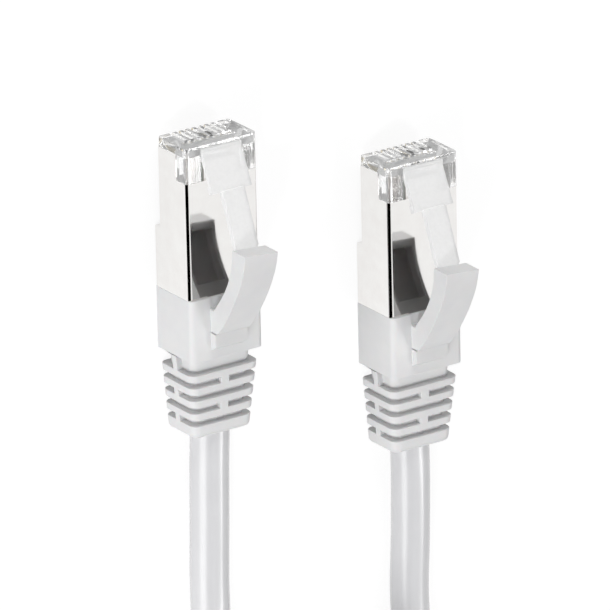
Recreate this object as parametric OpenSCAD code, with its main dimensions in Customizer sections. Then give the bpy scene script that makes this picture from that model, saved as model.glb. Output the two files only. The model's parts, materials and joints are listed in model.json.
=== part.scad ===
// Ethernet patch cable: two shielded 8P8C plugs on one round cord, each with a
// moulded strain relief boot and a guarded latch. Both plugs lie on their contact
// side with the latch up and the nose towards -Y. The middle of the cord is coiled.
// Millimetres. Origin: centre of the rectangle that the two plugs cover, on the floor.

/* [Layout] */
// Distance between the two plugs, middle to middle
plug_spacing = 33; // [28:0.5:45]
// How far plug b lies behind plug a
plug_stagger = 10.2; // [4:0.2:14]

/* [Plug body] */
// Width of the plug body
plug_w = 11.68; // [11.2:0.02:12.2]
// Height of the plug body at its nose
plug_h = 6.85; // [6.5:0.05:7.2]
// Height of the nose's contact face above the floor
face_lift = 1.35; // [1.1:0.05:1.6]
// Length of the clear housing
housing_len = 17; // [16:0.5:19]
// Radius of the body's long edges
edge_r = 0.45; // [0.3:0.05:0.6]
// Clearance between pieces that seat on one another
fit = 0.05; // [0.03:0.01:0.08]

/* [Shield] */
// Thickness of the sheet metal
shield_t = 0.25; // [0.2:0.05:0.3]
// Distance from the nose tip to the shield's front edge
lip_y = 1.4; // [1.3:0.05:1.8]
// Radius of the rounded corner of that edge
lip_r = 0.8; // [0.5:0.1:1.2]
// Length of the clear corners that the shield leaves open
corner_len = 4.8; // [4.5:0.1:5.2]
// How far the open corners reach down the sides
corner_drop = 2.3; // [2:0.1:2.8]
// Width of the tongue under the latch
tongue_w = 5.2; // [4.4:0.2:6]
// Distance from the nose tip to the tongue
tongue_y = 2.6; // [2.4:0.1:3.4]
// How far the tongue lies below the top face
tongue_drop = 0.45; // [0.4:0.05:0.6]
// Distance from the nose tip to the deeper rear part
can_y = 13.2; // [12.5:0.1:14]
// How far the rear part steps out on the contact side
can_drop = 1.25; // [1:0.05:1.3]
// Distance from the nose tip to the shield's edge behind the contacts
window_y = 7.4; // [7.2:0.1:8.5]

/* [Contacts and conductors] */
// Number of contacts
contact_n = 8; // [8:8]
// Distance between neighbouring contacts
contact_pitch = 1.016; // [1.016:0.002:1.03]
// Thickness of a contact blade
contact_t = 0.34; // [0.28:0.02:0.38]
// Length of a contact blade
contact_len = 6; // [5:0.2:6.2]
// How far a blade's edge lies inside the contact face
contact_recess = 0.3; // [0.2:0.05:0.5]
// Side clearance of a blade in its slot
contact_gap = 0.08; // [0.06:0.01:0.1]
// Height of the conductors' row above the contact face
wire_rise = 3.7; // [3.5:0.1:3.8]
// Diameter over a conductor's insulation
wire_d = 0.94; // [0.8:0.02:0.96]
// Length of the load bar
bar_len = 3.4; // [2.5:0.1:4]
// Height of the load bar
bar_h = 2.6; // [2.2:0.1:3]

/* [Latch] */
// Width of the latch lever at its shoulders
latch_w = 6.35; // [6:0.05:6.5]
// Thickness of the lever
latch_t = 0.72; // [0.6:0.02:0.74]
// Slope of the lever at rest
latch_slope = 26; // [25:0.5:28]
// Distance from the nose tip to the lever's hinge
latch_y = 0.95; // [0.9:0.01:1]
// Length of the wide part, along the slope
latch_len = 6.05; // [5.6:0.05:6.4]
// Length of the thickened shoulders
shoulder_len = 1.15; // [0.9:0.05:1.2]
// How far the shoulders stand below the middle of the lever
shoulder_drop = 0.74; // [0.6:0.02:0.76]
// Width of the lever's narrow tail
tail_w = 3.4; // [3:0.1:3.8]
// Thickness of the tail
tail_t = 0.9; // [0.7:0.05:0.95]
// Height of the step where the tail starts
tail_step = 0.3; // [0.2:0.05:0.35]
// Length of the tail
tail_len = 8.1; // [7.6:0.05:8.15]
// Slope of the tail at rest
tail_slope = 22.5; // [21:0.5:23]
// Radius of the lever's round knuckle
knuckle_r = 0.42; // [0.36:0.01:0.42]
// How far the hinge's axis lies below the body's top face
hinge_sink = 0.33; // [0.3:0.01:0.4]
// Clearance round the lever's and the arm's hinges
hinge_gap = 0.14; // [0.12:0.01:0.16]
// Clearance at each side of the lever in its recess
latch_side = 0.15; // [0.1:0.01:0.2]

/* [Boot] */
// Distance from the nose tip to the boot
boot_y = 22; // [21.5:0.1:23]
// Width of the boot
boot_w = 11.7; // [11.4:0.1:12.4]
// Wall of the boot above and below the crimp ferrule
boot_wall = 0.8; // [0.75:0.05:0.95]
// Length of the boot's plain block
block_len = 9.85; // [9.4:0.05:11]
// Radius of the block's long edges
boot_r = 0.85; // [0.6:0.05:1.2]
// Number of slots in the strain relief
slot_n = 5; // [3:6]
// Length of one slot
slot_len = 0.85; // [0.6:0.05:1]
// Length of one rib between two slots
rib_len = 1.2; // [1:0.05:1.5]
// Length of the last rib
end_len = 1.4; // [1.2:0.1:2]
// Width of the first rib
rib_w = 11.2; // [10.6:0.1:11.6]
// Width of the last rib
rib_end_w = 9.2; // [8.8:0.1:10]
// How far the first rib is set in from the boot's top and bottom faces
rib_set = 0.15; // [0.1:0.05:0.3]
// How far the last rib stands out from the core, above and below
rib_end_out = 0.3; // [0.2:0.05:0.5]
// Radius of the ribs' corners
rib_r = 1.6; // [1.2:0.1:2]
// Wall of the core inside the slots
core_wall = 0.4; // [0.3:0.05:0.5]
// Width of the bridges across the slots
bridge_w = 1.9; // [1.2:0.1:2.4]

/* [Guard arm] */
// Width of the arm
arm_w = 5.4; // [4.8:0.1:5.8]
// Distance from the nose tip to the arm's hinge
arm_y = 25; // [24.8:0.1:25.2]
// Height of the arm's hinge above the boot's top face
arm_rise = 0.8; // [0.75:0.05:0.9]
// Radius of the arm's round foot
foot_r = 1.1; // [1:0.05:1.15]
// Thickness of the arm's outer skin
arm_skin = 0.95; // [0.8:0.05:1.1]
// Thickness of the arm's side walls
arm_side = 0.5; // [0.4:0.05:0.7]
// Length of the arm's solid root, ahead of its hinge
arm_root = 3.2; // [2.6:0.1:4]
// Distance from the arm's hinge to the pad behind it
pad_back = 2.1; // [2.05:0.05:2.4]
// Length of the pad
pad_len = 1.9; // [1.4:0.1:2.4]
// Height of the pad above the boot
pad_h = 1.65; // [1.4:0.05:2]
// Size of the corner that is cut off the pad
pad_cut = 0.6; // [0.4:0.1:1]
// Depth of the notch that the arm's root moves in
notch_depth = 0.45; // [0.4:0.05:0.5]

/* [Cable] */
// Diameter of the cord
cord_d = 5.5; // [5:0.1:5.6]
// Thickness of the cord's jacket
jacket_t = 0.55; // [0.4:0.05:0.6]
// Thickness of the folded shield braid
braid_t = 0.23; // [0.15:0.01:0.3]
// Wall of the crimp ferrule
ferrule_t = 0.22; // [0.15:0.01:0.25]
// Length of the ferrule's tube
ferrule_len = 8; // [6:0.5:9]
// Length of the shield braid inside the ferrule
braid_len = 6.5; // [4:0.5:7]
// Distance from the nose tip to the end of the cord's jacket
jacket_y = 19; // [18.2:0.1:20]
// Radius of the coil's outermost loop
coil_r = 34.5; // [34:0.5:40]
// Space between neighbouring loops
loop_gap = 0.45; // [0.45:0.05:1.5]

/* [Hidden] */
$fn = 48;
// How far a cut runs past the face that it opens, and how far joined shapes overlap
PAST = 1;
TINY = 0.01;
LAP = 0.2;

// plug
top_z = face_lift + plug_h;
corner_z = top_z - corner_drop;
tongue_top = top_z - tongue_drop;
skin = shield_t + fit;
inner_r = 0.2;
can_z = face_lift - can_drop;

// contacts: blades with two teeth each, and the conductors that they pierce
pitch_row = contact_pitch * (contact_n - 1);
slot_w = contact_t + 2 * contact_gap;
slot_end_gap = 0.1;
blade_y = 0.35;
blade_r = 0.45;
tooth_h = 0.6;
tooth_w = 1;
tooth_pitch = 1.7;
tooth_back = 1.4;
wire_z = face_lift + wire_rise;
wire_y = 1.5;
tooth_z = wire_z + wire_d / 4;
window_side = 1;

// load bar and the conductors' way to the jacket
bar_gap = 0.3;
bar_side = 0.5;
bar_y = blade_y + contact_len + bar_gap;
bar_w = pitch_row + wire_d + 2 * bar_side;
bar_play = 0.02;
split_len = 2.6;
split_z = 0.6;
ring_r = cord_d / 2 - wire_d / 2 - jacket_t;

// latch
latch_z = top_z - hinge_sink;
recess_w = latch_w + 2 * latch_side;
tail_lap = 0.4;
tail_cut = 0.8;

// boot and what it covers
ferrule_bore = cord_d + 2 * (braid_t + 2 * fit);
ferrule_d = ferrule_bore + 2 * ferrule_t;
flange_t = 0.4;
flange_in = 0.9;
braid_back = 0.5;
core_d = cord_d + 2 * (fit + core_wall);
boot_h = ferrule_d + 2 * boot_wall;
cable_z = boot_h / 2;
block_end = boot_y + block_len;
rib_h = boot_h - 2 * rib_set;
rib_end_h = core_d + 2 * rib_end_out;
rib_pitch = slot_len + rib_len;
bridge_in = 0.15;
plug_len = block_end + (slot_n - 1) * rib_pitch + slot_len + end_len;
arm_z = boot_h + arm_rise;
pad_y = arm_y + pad_back;

// The guard arm's side outline, as offsets from its hinge along the plug and up
ARM_OUTER = [[1.9, 1.05], [0.2, 3.05], [-2.3, 4.75], [-5.2, 6.25], [-8.6, 7.4], [-12.1, 8.45]];
ARM_INNER = [[-12, 5.15], [-9.1, 4.95], [-6.4, 4.1], [-4.2, 2.75], [-2.2, 1.15], [-1.35, 0.5]];
ARM_FOOT = [[-1.45, -arm_rise], [-0.7, -arm_rise], [1.7, 0.1]];

// The cord's route from each boot to the coil
RUN_A = [[16.5, 22, 4.1], [16.5, 31, 3.7], [16.5, 39, 3.3], [16.6, 45, 3.5], [17.8, 51, 4.9]];
RUN_B = [[-16.5, 32, 4.1], [-16.5, 41, 3.6], [-16.5, 50, 3], [-17.3, 57, 2.8]];
COIL_AT = [5, 87];
loop_step = cord_d + loop_gap;
coil_start = -53;
coil_turns = 4.746;
coil_lift = 0.05;
coil_base = cord_d / 2 + coil_lift;
ramp_drop = 1.8;
ramp_turns = 0.25;
climb_turns = 0.5;
rings_per_loop = 24;
coil_sides = 6;
run_sides = 10;
joint_gap = 0.02;

// ---- helpers ----

// A plug's own frame: nose tip at y = 0, cord towards +Y; side is 1 for plug a, -1 for plug b
function plug_at(side) = [side * plug_spacing / 2, -(plug_len + side * plug_stagger) / 2, 0];

module at_plug(side) {
    translate(plug_at(side)) children();
}

// Extrudes an outline drawn in x and z along the plug, from y0 to y1
module along_y(y0, y1) {
    translate([0, y1, 0]) rotate([90, 0, 0]) linear_extrude(y1 - y0) children();
}

// Extrudes an outline drawn in y and z across the plug, w wide
module across_x(w) {
    translate([-w / 2, 0, 0]) rotate([90, 0, 90]) linear_extrude(w) children();
}

// A box given by its corners
module box(low, high) {
    translate(low) cube(high - low);
}

// A rectangle from z0 to z1 with round corners
module slab(w, z0, z1, r) {
    h = z1 - z0;
    translate([0, (z0 + z1) / 2]) {
        square([w - 2 * r, h], center = true);
        square([w, h - 2 * r], center = true);
        for (sx = [-1, 1], sz = [-1, 1])
            translate([sx * (w / 2 - r), sz * (h / 2 - r)]) circle(r);
    }
}

// A smooth curve through the points, n steps to each pair
function bent(p, n) = [
    for (i = [0 : len(p) - 2], k = [0 : n - 1])
        let (a = p[max(i - 1, 0)], b = p[i], c = p[i + 1], d = p[min(i + 2, len(p) - 1)], t = k / n)
            b + (c - a) / 2 * t + (2 * a - 5 * b + 4 * c - d) / 2 * pow(t, 2)
              + (3 * b - a - 3 * c + d) / 2 * pow(t, 3),
    p[len(p) - 1]
];

function unit(v) = v / norm(v);

// The way the route runs at point i
function heading(p, i) = unit(p[min(i + 1, len(p) - 1)] - p[max(i - 1, 0)]);

// One closed tube of the given sides along the points
module tube(p, d, sides) {
    last = len(p) - 1;
    points = [
        for (i = [0 : last])
            let (way = heading(p, i), side = unit(cross(way, [0, 0, 1])), up = cross(side, way))
                for (k = [0 : sides - 1])
                    let (a = 360 * (k + 0.5) / sides) p[i] + d / 2 * (cos(a) * side + sin(a) * up)
    ];
    walls = [
        for (i = [0 : last - 1], k = [0 : sides - 1])
            let (a = i * sides + k, b = i * sides + (k + 1) % sides)
                each [[a, b, b + sides], [a, b + sides, a + sides]]
    ];
    first_cap = [for (k = [1 : sides - 2]) [0, k + 1, k]];
    end = last * sides;
    last_cap = [for (k = [1 : sides - 2]) [end, end + k, end + k + 1]];
    polyhedron(points, concat(walls, first_cap, last_cap));
}

// ---- plug ----

// The part of the side view that the shield leaves open at the nose's upper corners
module open_corner(clear) {
    translate([-TINY, corner_z + clear]) square([corner_len + TINY - clear, corner_drop + PAST]);
}

// Eight blades side by side, each with an outline drawn in y and z
module blades(w) {
    for (i = [0 : contact_n - 1])
        translate([-pitch_row / 2 + i * contact_pitch, 0, 0]) across_x(w) children();
}

// One blade from the side: a round front corner below, two teeth above
module blade_outline() {
    z0 = face_lift + contact_recess;
    root = tooth_z - tooth_h;
    last_tooth = blade_y + contact_len - tooth_back;
    translate([blade_y + blade_r, z0]) square([contact_len - blade_r, root - z0]);
    translate([blade_y, z0 + blade_r]) square([contact_len, root - z0 - blade_r]);
    translate([blade_y + blade_r, z0 + blade_r]) circle(blade_r);
    for (i = [0, 1])
        translate([last_tooth - i * tooth_pitch, root - TINY])
            polygon([[-tooth_w / 2, 0], [tooth_w / 2, 0], [0, tooth_h + TINY]]);
}

module plug_housing() {
    recess_z = tongue_top - skin;
    inner_w = plug_w - 2 * skin;
    color([0.86, 0.92, 0.95, 0.5]) difference() {
        union() {
            along_y(0, lip_y - fit) slab(plug_w, face_lift, top_z, edge_r);
            along_y(LAP, housing_len) slab(inner_w, face_lift + skin, top_z - skin, inner_r);
            along_y(can_y + skin, housing_len) slab(inner_w, can_z + skin, cable_z, inner_r);
            intersection() {
                along_y(0, corner_len - fit) slab(plug_w, face_lift, top_z, edge_r);
                across_x(plug_w + PAST) open_corner(fit);
            }
        }
        // recess under the lever, and the seat of its hinge
        box([-recess_w / 2, latch_y, recess_z], [recess_w / 2, corner_len + skin, top_z + PAST]);
        translate([-recess_w / 2, latch_y, latch_z]) rotate([0, 90, 0])
            cylinder(r = knuckle_r + hinge_gap, h = recess_w);
        box([-recess_w / 2, latch_y - knuckle_r - hinge_gap, latch_z],
            [recess_w / 2, latch_y, top_z + PAST]);
        // contact slots, open at the nose and on the contact face
        blades(slot_w) translate([-PAST, face_lift - PAST])
            square([blade_y + contact_len + slot_end_gap + PAST, wire_rise + PAST]);
        // the conductors' row
        box([-(pitch_row + wire_d) / 2 - fit, wire_y - LAP, wire_z - wire_d / 2 - fit],
            [(pitch_row + wire_d) / 2 + fit, bar_y, wire_z + wire_d / 2 + fit]);
        // pocket for the load bar and the fanned conductors, deeper in the rear part
        box([-bar_w / 2 - fit, bar_y - fit, wire_z - bar_h / 2 - fit],
            [bar_w / 2 + fit, housing_len + PAST, wire_z + bar_h / 2 + fit]);
        box([-bar_w / 2 - fit, can_y + LAP, cable_z - ring_r - wire_d / 2 - fit],
            [bar_w / 2 + fit, housing_len + PAST, wire_z]);
    }
}

module contacts() {
    color("gold") blades(contact_t) blade_outline();
}

module load_bar() {
    color([0.9, 0.93, 0.95]) difference() {
        box([-bar_w / 2, bar_y, wire_z - bar_h / 2], [bar_w / 2, bar_y + bar_len, wire_z + bar_h / 2]);
        for (i = [0 : contact_n - 1])
            translate([-pitch_row / 2 + i * contact_pitch, bar_y - PAST, wire_z])
                rotate([-90, 0, 0]) cylinder(d = wire_d + 2 * bar_play, h = bar_len + 2 * PAST);
    }
}

// Eight insulated conductors: a flat row at the contacts, two rows behind the load
// bar, and a ring where they enter the jacket
module conductors() {
    row_end = bar_y + bar_len + bar_gap;
    split_y = row_end + split_len;
    // ring places from left to right, upper and lower in turn
    turns = [202.5, 157.5, 247.5, 112.5, 67.5, 292.5, 22.5, 337.5];
    shades = ["#e9a46a", "#e07b28", "#9fc79a", "#3f6fb5", "#a9bfe0", "#3f9150", "#c9a58a", "#7b4a2b"];
    difference() {
        for (i = [0 : contact_n - 1]) {
            x = -pitch_row / 2 + i * contact_pitch;
            row = sin(turns[i]) > 0 ? split_z : -split_z;
            ring = [ring_r * cos(turns[i]), jacket_y, cable_z + ring_r * sin(turns[i])];
            color(shades[i]) tube([
                [x, wire_y, wire_z], [x, bar_y, wire_z], [x, row_end, wire_z], [x, split_y, wire_z + row],
                ring - [0, wire_d, 0], ring - [0, joint_gap, 0]
            ], wire_d, run_sides);
        }
        // slits cut by the blades
        blades(contact_t + 2 * fit) translate([blade_y, face_lift])
            square([contact_len + fit, tooth_z - face_lift + fit]);
    }
}

module shield() {
    inner_w = plug_w - 2 * shield_t;
    color([0.8, 0.81, 0.83]) {
        difference() {
            union() {
                along_y(lip_y, can_y + shield_t) slab(plug_w, face_lift, top_z, edge_r);
                along_y(can_y, boot_y) slab(plug_w, can_z, top_z, edge_r);
            }
            along_y(lip_y - PAST, can_y + PAST)
                slab(inner_w, face_lift + shield_t, top_z - shield_t, inner_r);
            along_y(can_y + shield_t, boot_y + PAST)
                slab(inner_w, can_z + shield_t, top_z - shield_t, inner_r);
            across_x(plug_w + PAST) {
                open_corner(0);
                difference() {
                    translate([lip_y - TINY, corner_z - lip_r]) square([lip_r + TINY, lip_r + TINY]);
                    translate([lip_y + lip_r, corner_z - lip_r]) circle(lip_r);
                }
            }
            // window for the contacts
            box([-pitch_row / 2 - window_side, 0, face_lift - PAST],
                [pitch_row / 2 + window_side, window_y, face_lift + shield_t + TINY]);
        }
        // tongue under the latch, and the step that it is bent down from
        box([-tongue_w / 2, tongue_y, tongue_top - shield_t],
            [tongue_w / 2, corner_len + shield_t, tongue_top]);
        box([-tongue_w / 2, corner_len, tongue_top - shield_t],
            [tongue_w / 2, corner_len + shield_t, top_z]);
    }
}

module crimp_ferrule() {
    flange_y = boot_y - flange_in;
    tube_end = boot_y + ferrule_len;
    color([0.78, 0.78, 0.76]) difference() {
        union() {
            along_y(flange_y, flange_y + flange_t)
                slab(plug_w - 2 * skin, can_z + skin, top_z - skin, inner_r);
            translate([0, flange_y, cable_z]) rotate([-90, 0, 0])
                cylinder(d = ferrule_d, h = tube_end - flange_y);
        }
        translate([0, flange_y - PAST, cable_z]) rotate([-90, 0, 0])
            cylinder(d = ferrule_bore, h = tube_end - flange_y + 2 * PAST);
    }
}

module braid() {
    start = boot_y + ferrule_len - braid_len - braid_back;
    color([0.7, 0.7, 0.72]) translate([0, start, cable_z]) rotate([-90, 0, 0]) difference() {
        cylinder(d = ferrule_bore - 2 * fit, h = braid_len);
        translate([0, 0, -PAST]) cylinder(d = cord_d + 2 * fit, h = braid_len + 2 * PAST);
    }
}

module jacket_end() {
    color([0.88, 0.88, 0.89]) translate([0, jacket_y + fit, cable_z]) rotate([-90, 0, 0])
        cylinder(d = cord_d, h = plug_len - jacket_y - fit);
}

// ---- boot and latch ----

// Share of the way from the first rib to the last
function taper(i) = i / slot_n;

module strain_relief() {
    for (i = [0 : slot_n]) {
        y0 = block_end + i * rib_pitch - rib_len;
        y1 = i < slot_n ? y0 + rib_len : plug_len;
        w = rib_w + (rib_end_w - rib_w) * taper(i);
        h = rib_h + (rib_end_h - rib_h) * taper(i);
        if (i > 0) along_y(y0, y1) slab(w, cable_z - h / 2, cable_z + h / 2, rib_r);
        if (i < slot_n) {
            // bridges across the slot: on the sides in odd rows, above and below in even ones
            across = i % 2 == 0 ? [w / 2 - bridge_in, bridge_w / 4] : [bridge_w / 2, h / 2 - bridge_in];
            box([-across.x, y1 - LAP, cable_z - across.y],
                [across.x, y1 + slot_len + LAP, cable_z + across.y]);
        }
    }
    translate([0, block_end - PAST, cable_z]) rotate([-90, 0, 0])
        cylinder(d = core_d, h = plug_len - block_end + PAST);
}

// The pad behind the guard arm, with its far rear corner cut off
module pad() {
    translate([0, pad_y, boot_h - LAP]) linear_extrude(pad_h + LAP) polygon([
        [-arm_w / 2, 0], [arm_w / 2, 0], [arm_w / 2, pad_len],
        [-arm_w / 2 + pad_cut, pad_len], [-arm_w / 2, pad_len - pad_cut]
    ]);
}

module boot() {
    color([0.9, 0.9, 0.91]) difference() {
        union() {
            along_y(boot_y, block_end) slab(boot_w, 0, boot_h, boot_r);
            pad();
            strain_relief();
        }
        // seat of the guard arm's foot
        translate([-arm_w / 2 - hinge_gap, arm_y, arm_z]) rotate([0, 90, 0])
            cylinder(r = foot_r + hinge_gap, h = arm_w + 2 * hinge_gap);
        box([-arm_w / 2 - hinge_gap, boot_y - PAST, boot_h - notch_depth],
            [arm_w / 2 + hinge_gap, arm_y, boot_h + PAST]);
        translate([0, boot_y - PAST, cable_z]) rotate([-90, 0, 0])
            cylinder(d = ferrule_d + 2 * fit, h = ferrule_len + PAST + fit);
        translate([0, boot_y, cable_z]) rotate([-90, 0, 0])
            cylinder(d = cord_d + 2 * fit, h = plug_len - boot_y + PAST);
    }
}

// The hollow under the arm's skin, open below and at the tip, seen from the side
module arm_channel() {
    ceiling = [for (p = bent(ARM_OUTER, 4)) if (p.x < -arm_root) p - [0, arm_skin]];
    tip = ceiling[len(ceiling) - 1];
    polygon(concat(ceiling, [[tip.x - PAST, tip.y], [tip.x - PAST, 0], [ceiling[0].x, 0]]));
}

module guard_arm() {
    color([0.88, 0.88, 0.89]) translate([0, arm_y, arm_z]) difference() {
        across_x(arm_w) {
            polygon(concat(bent(ARM_OUTER, 4), bent(ARM_INNER, 4), ARM_FOOT));
            circle(foot_r);
        }
        across_x(arm_w - 2 * arm_side) arm_channel();
    }
}

// The lever's own frame: hinge at the origin, the lever rising along +Y
module latch_lever() {
    color([0.86, 0.92, 0.95, 0.6]) translate([0, latch_y, latch_z]) {
        rotate([latch_slope, 0, 0]) {
            translate([-latch_w / 2, 0, 0]) rotate([0, 90, 0]) cylinder(r = knuckle_r, h = latch_w);
            box([-latch_w / 2, 0, -latch_t / 2], [latch_w / 2, latch_len, latch_t / 2]);
            for (s = [-1, 1])
                translate([s * (latch_w + tail_w) / 4, 0, 0])
                    box([-(latch_w - tail_w) / 4, latch_len - shoulder_len, -shoulder_drop],
                        [(latch_w - tail_w) / 4, latch_len, latch_t / 2]);
            translate([0, latch_len - tail_lap, latch_t / 2 + tail_step])
                rotate([tail_slope - latch_slope, 0, 0]) difference() {
                    box([-tail_w / 2, 0, -tail_t], [tail_w / 2, tail_len, 0]);
                    // cut corners of the end
                    for (s = [-1, 1])
                        translate([s * tail_w / 2, tail_len, -tail_t / 2]) rotate([0, 0, 45])
                            cube([tail_cut, tail_cut, tail_t + PAST], center = true);
                }
        }
    }
}

// ---- cord ----

// Turns from the outer end of the spiral to its nearer end
function coil_depth(u) = min(u, coil_turns - u);
function coil_drop(u) = ramp_drop * pow(max(0, 1 - u / ramp_turns), 2);
// 1 on the upper layer, 0 on the lower
function coil_layer(u) = 0.5 + 0.5 * cos(180 * min(1, max(0, (u - coil_turns / 2) / climb_turns + 0.5)));
function coil_point(u) =
    let (a = coil_start + 360 * u, r = coil_r - loop_step * coil_depth(u))
        [COIL_AT.x + r * cos(a), COIL_AT.y + r * sin(a),
         coil_base + loop_step * coil_layer(u) - coil_drop(u)];

coil_rings = round(coil_turns * rings_per_loop);
COIL = [for (i = [0 : coil_rings]) coil_point(coil_turns * i / coil_rings)];
coil_in = unit(coil_point(0.001) - coil_point(0));
coil_out = unit(coil_point(coil_turns) - coil_point(coil_turns - 0.001));
COIL_PATH = concat([COIL[0] - cord_d * coil_in], COIL, [COIL[coil_rings] + cord_d * coil_out]);

end_a = plug_at(1) + [0, plug_len + joint_gap, cable_z];
end_b = plug_at(-1) + [0, plug_len + joint_gap, cable_z];

module cable_coil() {
    color([0.86, 0.86, 0.88]) tube(COIL_PATH, cord_d, coil_sides);
}

module cable_run_a() {
    stop = COIL_PATH[0] - joint_gap * coil_in;
    color([0.86, 0.86, 0.88])
        tube(concat([end_a], RUN_A, [stop - coil_in, stop]), cord_d, run_sides);
}

module cable_run_b() {
    stop = COIL_PATH[len(COIL_PATH) - 1] + joint_gap * coil_out;
    color([0.86, 0.86, 0.88])
        tube(concat([end_b], RUN_B, [stop + coil_out, stop]), cord_d, run_sides);
}

// The coil's least gap to itself, and the cord's free length
far_rings = round(rings_per_loop / 2);
self_gap = min([
    for (i = [0 : coil_rings - far_rings], j = [i + far_rings : coil_rings]) norm(COIL[i] - COIL[j])
]) - cord_d;
function path_len(p) = sum_to([for (i = [0 : len(p) - 2]) norm(p[i + 1] - p[i])], 0);
function sum_to(v, i) = i == len(v) ? 0 : v[i] + sum_to(v, i + 1);
echo(coil_least_gap = self_gap);
echo(free_cord = path_len(COIL_PATH) + path_len(concat([end_a], RUN_A, [COIL_PATH[0]]))
    + path_len(concat([end_b], RUN_B, [COIL_PATH[len(COIL_PATH) - 1]])));
echo(plug_length = plug_len, whole_cable_adds = 2 * plug_len);

at_plug(1) plug_housing();  // plug_housing_a
at_plug(1) contacts();  // contacts_a
at_plug(1) load_bar();  // load_bar_a
at_plug(1) conductors();  // conductors_a
at_plug(1) shield();  // shield_a
at_plug(1) crimp_ferrule();  // crimp_ferrule_a
at_plug(1) braid();  // braid_a
at_plug(1) jacket_end();  // jacket_end_a
at_plug(1) boot();  // boot_a
at_plug(1) latch_lever();  // latch_lever_a
at_plug(1) guard_arm();  // guard_arm_a
at_plug(-1) plug_housing();  // plug_housing_b
at_plug(-1) contacts();  // contacts_b
at_plug(-1) load_bar();  // load_bar_b
at_plug(-1) conductors();  // conductors_b
at_plug(-1) shield();  // shield_b
at_plug(-1) crimp_ferrule();  // crimp_ferrule_b
at_plug(-1) braid();  // braid_b
at_plug(-1) jacket_end();  // jacket_end_b
at_plug(-1) boot();  // boot_b
at_plug(-1) latch_lever();  // latch_lever_b
at_plug(-1) guard_arm();  // guard_arm_b
cable_run_a();
cable_run_b();
cable_coil();
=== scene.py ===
# %% [markdown]
# # Ethernet patch cable
# Two shielded modular plugs, each in a white moulded boot, sit on the two ends of one
# round cord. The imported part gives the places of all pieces, and this lesson gives
# them their finished shapes and surfaces.

# %% Load the frame
import json
import math

import bmesh
import bpy
from mathutils import Matrix, Vector


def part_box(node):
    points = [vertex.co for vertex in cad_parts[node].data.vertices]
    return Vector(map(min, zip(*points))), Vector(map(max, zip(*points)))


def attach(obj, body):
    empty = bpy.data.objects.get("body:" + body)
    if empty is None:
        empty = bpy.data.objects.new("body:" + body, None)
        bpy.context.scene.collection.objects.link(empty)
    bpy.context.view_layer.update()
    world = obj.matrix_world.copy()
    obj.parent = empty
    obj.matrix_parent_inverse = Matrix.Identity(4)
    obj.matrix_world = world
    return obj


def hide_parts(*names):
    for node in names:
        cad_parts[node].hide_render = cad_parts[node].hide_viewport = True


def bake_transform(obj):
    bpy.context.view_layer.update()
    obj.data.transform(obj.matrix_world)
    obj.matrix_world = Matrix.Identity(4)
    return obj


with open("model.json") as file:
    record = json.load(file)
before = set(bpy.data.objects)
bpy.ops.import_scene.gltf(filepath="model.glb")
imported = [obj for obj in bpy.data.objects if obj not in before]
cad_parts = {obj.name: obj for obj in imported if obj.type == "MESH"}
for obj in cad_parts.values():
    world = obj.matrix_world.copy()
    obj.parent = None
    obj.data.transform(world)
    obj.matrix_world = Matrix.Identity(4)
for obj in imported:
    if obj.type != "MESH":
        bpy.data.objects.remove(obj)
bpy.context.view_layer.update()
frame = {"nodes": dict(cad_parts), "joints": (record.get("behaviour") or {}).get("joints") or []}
bpy.ops.object.select_all(action="DESELECT")
nodes = frame["nodes"]

# %% [markdown]
# The part is small, so shapes are modelled with one Blender unit as a millimetre, in
# the plug's own axes: nose tip at y = 0, cord towards +Y, floor at z = 0. A finished
# shape is then scaled down and set on each plug. The places come from the packed
# nodes, so nothing is fitted by eye.

# %% Sizes that come from the frame
MM = 0.001
SIDES = ("a", "b")


def plug_origin(side):
    low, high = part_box("plug_housing_" + side)
    return Vector(((low.x + high.x) / 2, low.y, 0))


ORIGIN = {side: plug_origin(side) for side in SIDES}


def local_box(node):
    """The box of a node of plug a, in millimetres in the plug's own axes."""
    low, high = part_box(node + "_a")
    return (low - ORIGIN["a"]) / MM, (high - ORIGIN["a"]) / MM


BOOT_LOW, BOOT_HIGH = local_box("boot")
SHIELD_LOW, SHIELD_HIGH = local_box("shield")
HOUSING_LOW, HOUSING_HIGH = local_box("plug_housing")
JACKET_LOW, JACKET_HIGH = local_box("jacket_end")
PIVOT = {j["name"]: Vector(j["pos_m"]) for j in frame["joints"]}
LATCH_PIVOT = (PIVOT["latch_press_a"] - ORIGIN["a"]) / MM
ARM_PIVOT = (PIVOT["guard_press_a"] - ORIGIN["a"]) / MM
PLUG_W = HOUSING_HIGH.x - HOUSING_LOW.x
BOOT_Y = SHIELD_HIGH.y
PLUG_LEN = BOOT_HIGH.y
CORD_D = JACKET_HIGH.x - JACKET_LOW.x
CORD_Z = (JACKET_LOW.z + JACKET_HIGH.z) / 2
print("plug length", round(PLUG_LEN, 2), "mm, cord", round(CORD_D, 2), "mm")

# %% [markdown]
# ## Camera
# A long lens far away keeps both plugs almost parallel. The camera stands over the
# latch faces, towards the noses and plug a's outer side, so one side wall, the nose and
# the latch face of each plug show. It is rolled until the plugs point up the picture.

# %% Camera
CAMERA_AZIMUTH = math.radians(55.16)
CAMERA_ELEVATION = math.radians(50.91)
CAMERA_ROLL = math.radians(-117.09)
CAMERA_TARGET = Vector((3.805, 0.322, 8.778)) * MM
CAMERA_DISTANCE = 1.5
CAMERA_LENS = 647.7


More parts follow.
